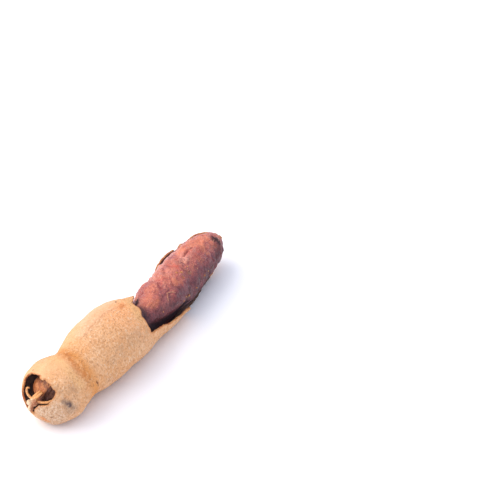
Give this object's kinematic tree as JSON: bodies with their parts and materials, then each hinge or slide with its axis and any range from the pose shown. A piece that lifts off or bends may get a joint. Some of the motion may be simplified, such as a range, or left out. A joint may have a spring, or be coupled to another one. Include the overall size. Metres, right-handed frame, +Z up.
{
  "type": "tamarind pod",
  "caption": "Ripe sweet-tamarind pod lying on its side, with its brittle shell broken open over the tip lobe to show the sticky pulp, and a stem stub with strands.",
  "frame": {"origin": "on the surface the pod lies on, under the middle of its bounding box", "axes": "+X along the pod from the stem to the tip, +Z up, -Y towards the side where the shell's thin flap stands"},
  "size_m": [0.1192, 0.025, 0.0241],
  "materials": {
    "shell": "dry, brittle, scurfy tan shell with a granular matt surface",
    "pulp": "sticky reddish-brown fruit pulp with a satin sheen",
    "stem": "dry fibrous light-brown stalk"
  },
  "bodies": {
    "root": {"shell": "shell", "pulp": "pulp", "stem": "stem"}
  },
  "joints": []
}
